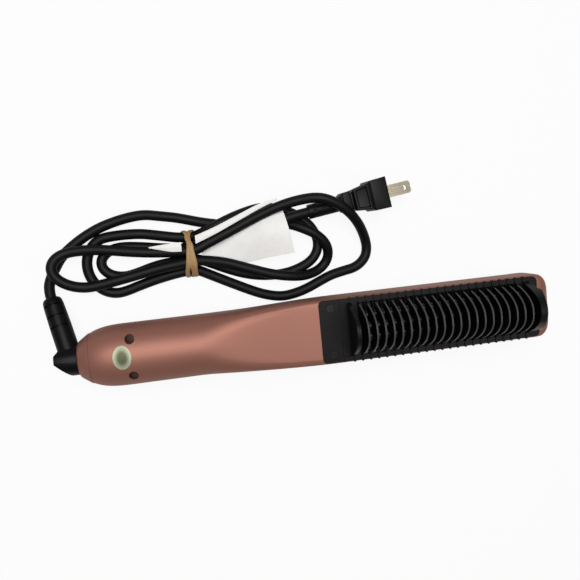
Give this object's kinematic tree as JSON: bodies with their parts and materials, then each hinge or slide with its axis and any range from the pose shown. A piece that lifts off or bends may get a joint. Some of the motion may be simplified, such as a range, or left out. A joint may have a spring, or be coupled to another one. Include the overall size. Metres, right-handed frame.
{
  "type": "hair straightening brush",
  "caption": "Heated hair straightening brush with an arched anti-scald comb, a round handle, a swivel cord tied in a hank by a rubber band, and a two-blade plug.",
  "frame": {"origin": "under the middle of the body's length, on the surface that the brush lies on", "axes": "+X towards the tip, +Z out of the comb, the tied cord lies on the +Y side"},
  "size_m": [0.3178, 0.112, 0.0536],
  "materials": {
    "rose_gold_shell": "satin metallic rose-gold paint on a plastic shell",
    "black_plastic": "satin black",
    "black_guard": "satin black heat-resistant plastic",
    "bare_sticker": "bare metallised label",
    "coated_aluminium": "black ceramic coating",
    "heater_ceramic": "plain",
    "insulation_film": "amber film",
    "spring_steel": "plain",
    "brass_contact": "plain",
    "glass_bead": "plain",
    "heatproof_plastic": "plain",
    "wire_insulation": "plain",
    "black_screw": "black oxide",
    "steel_screw": "zinc plated",
    "circuit_board": "solder mask",
    "component_plastic": "plain",
    "gloss_black": "gloss",
    "smoked_window": "smoked clear",
    "button_plastic": "satin",
    "cord_rubber": "satin black",
    "plug_vinyl": "satin black",
    "nickel_blade": "nickel plated",
    "band_rubber": "tan, matt",
    "white_tag": "bare white sheet"
  },
  "bodies": {
    "brush": {"front_shell": "rose_gold_shell", "back_shell": "rose_gold_shell", "tail_cap": "rose_gold_shell", "rating_sticker": "bare_sticker", "guard_frame": "black_guard", "guard_fins": "black_guard", "guard_end_blocks": "black_guard", "heating_base": "coated_aluminium", "heated_fins": "coated_aluminium", "ptc_heaters": "heater_ceramic", "insulation_sheet": "insulation_film", "clamp_plate": "spring_steel", "thermal_fuse": "brass_contact", "thermistor": "glass_bead", "heater_tray": "heatproof_plastic", "heater_wires": "wire_insulation", "supply_wires": "wire_insulation", "comb_screws": "black_screw", "handle_screws": "steel_screw", "tray_screws": "steel_screw", "board_screws": "steel_screw", "control_board": "circuit_board", "capacitor": "component_plastic", "triac": "component_plastic", "control_panel": "gloss_black", "display_window": "smoked_window", "display_module": "component_plastic", "tact_switches": "component_plastic", "contact_block": "heatproof_plastic", "contact_leaves": "brass_contact"},
    "cord_swivel": {"swivel_spindle": "black_plastic", "swivel_clip": "spring_steel", "slip_rings": "brass_contact", "swivel_boot": "cord_rubber", "cord_lead": "cord_rubber", "cord_hank": "cord_rubber", "cord_tail": "cord_rubber", "plug_boot": "cord_rubber", "plug_body": "plug_vinyl", "plug_blades": "nickel_blade", "rubber_band": "band_rubber", "cord_tag": "white_tag"},
    "power_button": {"power_button": "button_plastic"},
    "minus_button": {"minus_button": "button_plastic"},
    "plus_button": {"plus_button": "button_plastic"}
  },
  "joints": [
    {"name": "cord_swivel_turn", "type": "hinge", "parent": "brush", "child": "cord_swivel", "pos_m": [-0.1493, 0, 0.0182], "axis": [1, 0, 0], "continuous": true},
    {"name": "power_button_press", "type": "slide", "parent": "brush", "child": "power_button", "axis": [0, 0, 1], "range_m": [0, 0.0008], "stiffness_N_per_m": 1500, "springref_m": -0.0005},
    {"name": "minus_button_press", "type": "slide", "parent": "brush", "child": "minus_button", "axis": [0, 0, 1], "range_m": [0, 0.0008], "stiffness_N_per_m": 1500, "springref_m": -0.0005},
    {"name": "plus_button_press", "type": "slide", "parent": "brush", "child": "plus_button", "axis": [0, 0, 1], "range_m": [0, 0.0008], "stiffness_N_per_m": 1500, "springref_m": -0.0005}
  ]
}
